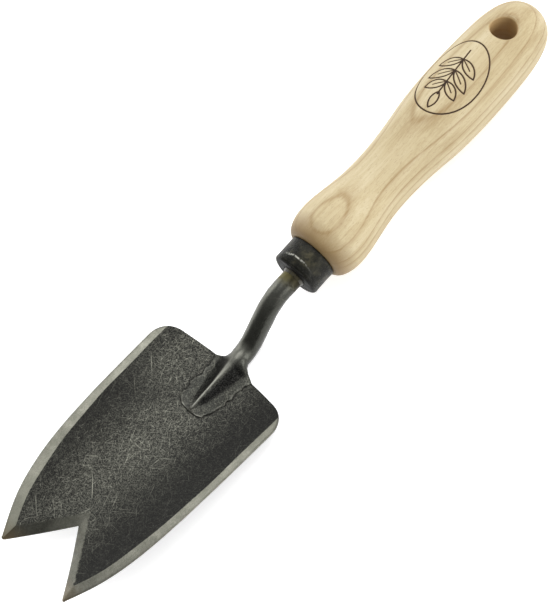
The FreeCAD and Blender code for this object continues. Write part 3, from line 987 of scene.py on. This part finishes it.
def blade_material():
    """Fire scale, pale along the middle and by the foot, partly from tumbling wear and partly as painted
    highlight, with painted shade over the rest; bright ground bevels.
    """
    g = Graph("forged_blade")
    x, y, _ = g.coordinates()
    # The pale middle and shoulder are partly tumbling wear and partly painted highlight of the lamp in
    # the dished face; the low end of the span below paints shade over the rest of the face.
    centre = hump(g, g.add(y, g.times(x, 0.10)), 5.5, 27)
    shoulder = g.times(g.times(hump(g, x, 62, 34), hump(g, y, -17, 22)), 1.25)
    centre = g.times(centre, g.span(x, 105, 150, 1.0, 0.78))
    wear_and_highlight = g.math("MAXIMUM", centre, shoulder)
    scale_colour, speckle, scratch = forged_colour(g, 1.0, g.span(wear_and_highlight, 0, 1, 0.30, 1.52))
    wobble = g.span(g.noise(g.place(), 1.1, 3.0, 0.6), 0.3, 0.7, -0.12, 0.12)
    in_side, in_notch = g.value("in_side"), g.value("in_notch")
    side = g.span(g.add(in_side, g.times(wobble, 0.6)), -0.05, 0.05, 1, 0)
    notch = g.span(g.add(in_notch, g.times(wobble, 4.0)), -0.5, 0.3, 1, 0)
    notch = g.times(notch, g.span(y, -0.4, 0.4, 0.8, 1.0))
    ground = g.math("MAXIMUM", side, notch)

    along = g.node("CombineXYZ", (
        g.times(g.value("along"), 0.12), g.times(in_side, 2.6), g.times(in_notch, 2.6),
    )).outputs[0]
    grind = g.noise(along, 1.0, 3.0, 0.65)
    stain = g.noise(g.place(), 0.22, 3.0, 0.6)
    ground_colour = g.ramp(g.add(g.times(grind, 0.55), g.times(stain, 0.45)), (
        (0.32, (0.085, 0.085, 0.070)), (0.5, (0.145, 0.145, 0.120)), (0.68, (0.225, 0.222, 0.188)),
    ))
    # A painted highlight on the -Y side's bevel towards the tip.
    left_tip_highlight = g.times(g.span(x, 120, 150), g.span(y, 0, -14))
    ground_colour = g.mix(g.times(left_tip_highlight, 0.3), ground_colour, (0.42, 0.42, 0.34))
    # Painted shade on the +Y side's bevel towards the heel.
    right_heel_shade = g.times(g.span(x, 115, 65), g.span(y, 10, 24))
    ground_colour = g.mix(g.times(right_heel_shade, 0.55), ground_colour, (0.075, 0.074, 0.060))
    # Painted shade on the notch's -Y bevel.
    left_notch_shade = g.times(g.span(y, -1.5, -9), g.math("LESS_THAN", in_notch, in_side))
    ground_colour = g.mix(g.times(left_notch_shade, 0.85), ground_colour, (0.020, 0.020, 0.016))
    tip = g.span(x, 151, 159)
    ground_colour = g.mix(g.times(tip, 0.55), ground_colour, (0.16, 0.115, 0.06))
    colour = painted_crevice_shade(g, g.mix(ground, scale_colour, ground_colour))
    roughness = g.add(
        g.times(ground, -0.16), g.span(speckle, 0.3, 0.7, 0.62, 0.50), g.times(scratch, -0.08),
    )
    relief = g.add(g.times(speckle, 0.8), g.times(scratch, -0.35), g.times(g.times(grind, ground), 0.25))
    metallic = g.span(ground, 0, 1, 0.5, 0.9)
    normal = g.bump(relief, 0.55, 0.10)
    return g.finish(colour, roughness, metallic, normal, Specular_IOR_Level=0.3)


def neck_material():
    """Blotched scale with a painted highlight streak down the rod, amber by the ferrule, pits and
    painted shade in the hollows beside the ridge, painted shade in the crease by the foot, a painted
    highlight along the foot's edge, and a pale crest that is partly wear and partly painted highlight."""
    g = Graph("forged_neck")
    tint, speckle, scratch = forged_colour(g, 0.95)
    blotch = g.noise(g.place((0.5, 1, 1)), 0.55, 4.0, 0.65)
    x, y, _ = g.coordinates()
    on_rod = g.span(x, 56, 46)
    colour = g.mix(g.span(blotch, 0.35, 0.65, 0.4, 1.0), (0.022, 0.023, 0.020), tint)
    colour = g.mix(g.times(on_rod, 0.7), colour, (0.058, 0.059, 0.050))
    # Pale streak down the rod's -Y side: painted highlight, the reflection of the bright floor.
    streak = g.times(hump(g, g.add(y, g.times(blotch, 1.4)), -2.1, 2.0), g.times(on_rod, 0.55))
    colour = g.mix(streak, colour, (0.16, 0.16, 0.135))
    ragged = g.add(x, g.times(g.noise(g.place(), 0.5, 2.0), 3.0))
    amber = g.span(ragged, 20.0, 16.0)
    # The amber resin stain is real; its being paler towards -Y and darker towards +Y is painted
    # highlight and painted shade carried on from the rod.
    amber_with_painted_light = g.mix(g.span(y, -3.2, 1.8), (0.115, 0.100, 0.034), (0.022, 0.018, 0.006))
    colour = g.mix(g.times(amber, 0.9), colour, amber_with_painted_light)
    hollow, wear_and_highlight = g.value("hollow"), g.value("wear_and_highlight")
    # Hollow flanks beside the ridge: real pits, darkened further as painted shade, more on the +Y flank.
    flank_shade = g.span(y, -0.5, 0.8, 0.70, 0.97)
    pits_and_shade = g.mix(g.span(speckle, 0.45, 0.68), (0.003, 0.003, 0.003), (0.036, 0.036, 0.033))
    colour = painted_crevice_shade(g, g.mix(g.times(hollow, flank_shade), colour, pits_and_shade))
    # A broken pale line along the foot's edge: painted highlight.
    broken_highlight = g.span(g.noise(g.place(shift=(7, 3, 0)), 0.6, 3.0), 0.42, 0.62, 0.0, 0.55)
    colour = g.mix(g.times(g.value("rim"), broken_highlight), colour, (0.20, 0.20, 0.17))
    # Pale band over the heel and the ridge's crest: partly rubbed wear, partly painted highlight.
    colour = g.mix(g.times(wear_and_highlight, 0.75), colour, (0.3, 0.3, 0.26))
    roughness = g.add(
        g.span(blotch, 0.3, 0.7, 0.26, 0.42), g.times(wear_and_highlight, -0.05), g.times(amber, 0.14),
        g.times(hollow, 0.2),
    )
    metallic = g.span(hollow, 0, 1, 0.75, 0.96)
    relief = g.add(speckle, g.times(blotch, 0.8), g.times(scratch, -0.3))
    normal = g.bump(relief, 0.4, 0.10)
    return g.finish(colour, roughness, metallic, normal, Specular_IOR_Level=0.35)


def ferrule_material():
    """Blackened steel with an olive cast, pits and bright specks, the front face darkened as painted
    shade, and a bright beaten edge that is partly wear and partly painted highlight.
    """
    g = Graph("blackened_ferrule")
    cloud = g.noise(g.place(), 0.3, 4.0, 0.6)
    pits = g.noise(g.place(), 1.3, 2.0, 0.6)
    fine = g.noise(g.place(), 3.2, 2.0, 0.7)
    colour = g.ramp(cloud, (
        (0.3, (0.003, 0.003, 0.0022)), (0.52, (0.009, 0.009, 0.0062)), (0.7, (0.030, 0.028, 0.017)),
    ))
    x, y, _ = g.coordinates()
    patch = g.times(hump(g, x, 5.0, 4.5), hump(g, y, 3.0, 6.5))
    colour = g.mix(g.times(patch, g.span(cloud, 0.35, 0.6, 0.1, 0.75)), colour, (0.062, 0.056, 0.030))
    # The front face darkened: painted shade.
    face = g.span(x, FERRULE_LENGTH - 1.2, FERRULE_LENGTH - 0.3)
    colour = g.mix(g.times(face, 0.8), colour, (0.0025, 0.0025, 0.002))
    specks = g.span(fine, 0.66, 0.74)
    colour = g.mix(g.times(specks, 0.5), colour, (0.16, 0.16, 0.14))
    # Pale line on the beaten edge: partly wear, partly painted highlight.
    edge_wear_and_highlight = g.times(g.value("wear_and_highlight"), g.span(pits, 0.38, 0.55))
    colour = g.mix(edge_wear_and_highlight, colour, (0.5, 0.5, 0.44))
    roughness = g.add(
        g.span(cloud, 0.3, 0.7, 0.50, 0.38), g.times(edge_wear_and_highlight, -0.1), g.times(face, 0.15),
    )
    relief = g.add(g.span(pits, 0.35, 0.5), g.times(fine, 0.5))
    return g.finish(colour, roughness, 0.45, g.bump(relief, 0.7, 0.16), Specular_IOR_Level=0.24)


RING_HEIGHTS = (15.0, 10.6, 5.9, 2.8, -1.6, -5.6, -9.4, -13.0)  # growth rings cut by the grip
RING_SHADE = ((-1.6, 0.0), (-0.55, 0.32), (-0.2, 0.95), (0.2, 0.0))  # height over a ring, darkness


def ash_material():
    """Ash: near-level growth rings, fibres and pores, with the mark burnt dark, painted shade by the
    shoulder, and the hanging hole's wall a warm brown lightened as painted light."""
    g = Graph("turned_ash")
    x, y, z = g.coordinates()
    warp = g.span(g.noise(g.place((0.03, 0.08, 0.08)), 1.0, 2.0), 0, 1, -0.55, 0.55)
    fuzz = g.span(g.noise(g.place((0.16, 0.6, 0.6)), 1.0, 3.0, 0.6), 0, 1, -0.22, 0.22)
    drift = g.times(g.span(x, -80, -125, 0, 0.8), g.span(z, 13.5, 11, 0, 1))
    level = g.add(z, g.times(y, -0.075), warp, fuzz, g.times(drift, -1.0))
    low, high = -17.0, 17.0
    stops = []
    for ring in reversed(RING_HEIGHTS):
        at = (ring - low) / (high - low)
        stops += [(at + step / (high - low), dark) for step, dark in RING_SHADE]
    ring_line = g.ramp(g.span(level, low, high), stops)

    fibre = g.noise(g.place((0.035, 1.6, 1.6)), 1.0, 4.0, 0.6)
    broad = g.noise(g.place((0.02, 0.16, 0.16)), 1.0, 2.0)
    pores = g.span(g.noise(g.place((0.6, 4.5, 4.5)), 1.0, 1.0), 0.60, 0.72)
    pale = g.ramp(g.add(g.times(broad, 0.6), g.times(fibre, 0.4)), (
        (0.36, (0.362, 0.280, 0.150)), (0.5, (0.436, 0.357, 0.210)), (0.64, (0.492, 0.418, 0.268)),
    ))
    streaked = g.times(ring_line, g.span(fibre, 0.3, 0.62, 1.0, 0.6))
    colour = g.mix(g.times(streaked, 0.9), pale, (0.235, 0.145, 0.052))
    colour = g.mix(g.times(pores, 0.42), colour, (0.22, 0.14, 0.062))
    squares = [g.math("POWER", value, 2.0) for value in (g.add(x, -HOLE_X), y)]
    reach = g.math("SQRT", g.add(*squares))
    # The hanging hole's wall: a warm brown of the cut wood, lightened as painted light against the shade
    # inside the hole.
    hole_wall_tone_and_light = g.span(reach, HOLE_RADIUS + 0.5, HOLE_RADIUS)
    colour = g.mix(g.times(hole_wall_tone_and_light, 0.75), colour, (0.46, 0.30, 0.135))
    # Darker towards the shoulder by the ferrule: painted shade.
    shoulder_shade = g.times(g.span(g.add(x, g.times(broad, 6.0)), -6.0, 1.5), 0.9)
    colour = g.mix(shoulder_shade, colour, (0.205, 0.130, 0.052))
    burn = g.value("burn")
    char = g.mix(g.span(fibre, 0.3, 0.7), (0.010, 0.005, 0.002), (0.036, 0.018, 0.007))
    colour = g.mix(g.span(burn, 0.0, 0.5), colour, (0.19, 0.11, 0.05))
    colour = g.mix(g.span(burn, 0.3, 0.8), colour, char)
    roughness = g.add(g.span(fibre, 0.3, 0.7, 0.50, 0.60), g.times(burn, 0.25))
    relief = g.add(g.times(fibre, 0.6), g.times(pores, -0.9), g.times(ring_line, -0.25))
    normal = g.bump(relief, 0.35, 0.06)
    return g.finish(colour, roughness, 0.0, normal, Specular_IOR_Level=0.35)


def adhesive_material(cad_object):
    """Gives the CAD node of the adhesive a dark amber resin."""
    g = Graph("amber_adhesive")
    here = g.node("TexCoord").outputs["Object"]
    cloud = g.noise(here, 600.0, 3.0)
    colour = g.ramp(cloud, ((0.3, (0.016, 0.013, 0.004)), (0.7, (0.045, 0.037, 0.012))))
    normal = g.bump(g.noise(here, 1500.0, 2.0), 0.5, 0.08)
    g.finish(colour, g.span(cloud, 0.3, 0.7, 0.22, 0.4), 0.0, normal)
    cad_object.data.materials.clear()
    cad_object.data.materials.append(g.material)


# ---- floor, light and camera ----
def make_floor():
    g = Graph("pale_floor")
    mottle = g.noise(g.node("TexCoord").outputs["Object"], 3.0, 2.0)
    colour = g.ramp(mottle, ((0.3, (0.90, 0.90, 0.90)), (0.7, (0.93, 0.93, 0.93))))
    g.finish(colour, 0.8, 0.0, None, Specular_IOR_Level=0.2, Emission_Strength=0.38)
    g.shader.inputs["Emission Color"].default_value = (1, 1, 1, 1)
    mesh = bpy.data.meshes.new("floor")
    reach = 4.0
    corners = [(-reach, -reach, 0), (reach, -reach, 0), (reach, reach, 0), (-reach, reach, 0)]
    mesh.from_pydata(corners, [], [(0, 1, 2, 3)])
    mesh.materials.append(g.material)
    add_object("floor", mesh)


def add_softbox(name, position, size, watts):
    light = bpy.data.lights.new(name, "AREA")
    light.shape = "DISK"
    light.size = size
    light.energy = watts
    box = add_object(name, light)
    box.location = position
    aim = Vector((0, 0, 0.01)) - box.location
    box.rotation_euler = aim.to_track_quat("-Z", "Y").to_euler()


def light_scene():
    """A white surround, brightest towards the upper left, and three soft boxes."""
    world = bpy.data.worlds.new("studio")
    bpy.context.scene.world = world
    world.use_nodes = True
    nodes, link = world.node_tree.nodes, world.node_tree.links.new
    background = nodes["Background"]
    background.inputs["Color"].default_value = (1, 1, 1, 1)
    toward = nodes.new("ShaderNodeVectorMath")
    toward.operation = "DOT_PRODUCT"
    toward.inputs[1].default_value = (-0.72, -0.25, 0.65)
    link(nodes.new("ShaderNodeTexCoord").outputs["Generated"], toward.inputs[0])
    fade = nodes.new("ShaderNodeMapRange")
    for socket, value in zip(fade.inputs[1:5], (-0.6, 0.9, 0.12, 1.0)):
        socket.default_value = value
    link(toward.outputs["Value"], fade.inputs[0])
    link(fade.outputs[0], background.inputs["Strength"])
    add_softbox("overhead_light", (-0.5, -0.25, 1.2), 1.2, 11.5)
    add_softbox("left_light", (0.1, -1.3, 0.45), 0.9, 6)
    add_softbox("right_light", (-0.2, 1.25, 0.6), 0.9, 11)
    bpy.context.scene.view_settings.view_transform = "Standard"


def make_camera():
    lens = bpy.data.cameras.new("camera")
    lens.lens = 58.02
    camera = add_object("camera", lens)
    camera.location = (0.06714, 0.12304, 0.37664)
    camera.rotation_euler = [math.radians(a) for a in (18.4606, 8.8996, 131.7602)]
    bpy.context.scene.camera = camera


# ---- build ----
make_blade(blade_material())
make_neck(neck_material())
make_ferrule(ferrule_material())
make_handle(ash_material())
adhesive_material(frame["nodes"]["tang_adhesive"])
make_floor()
light_scene()
make_camera()
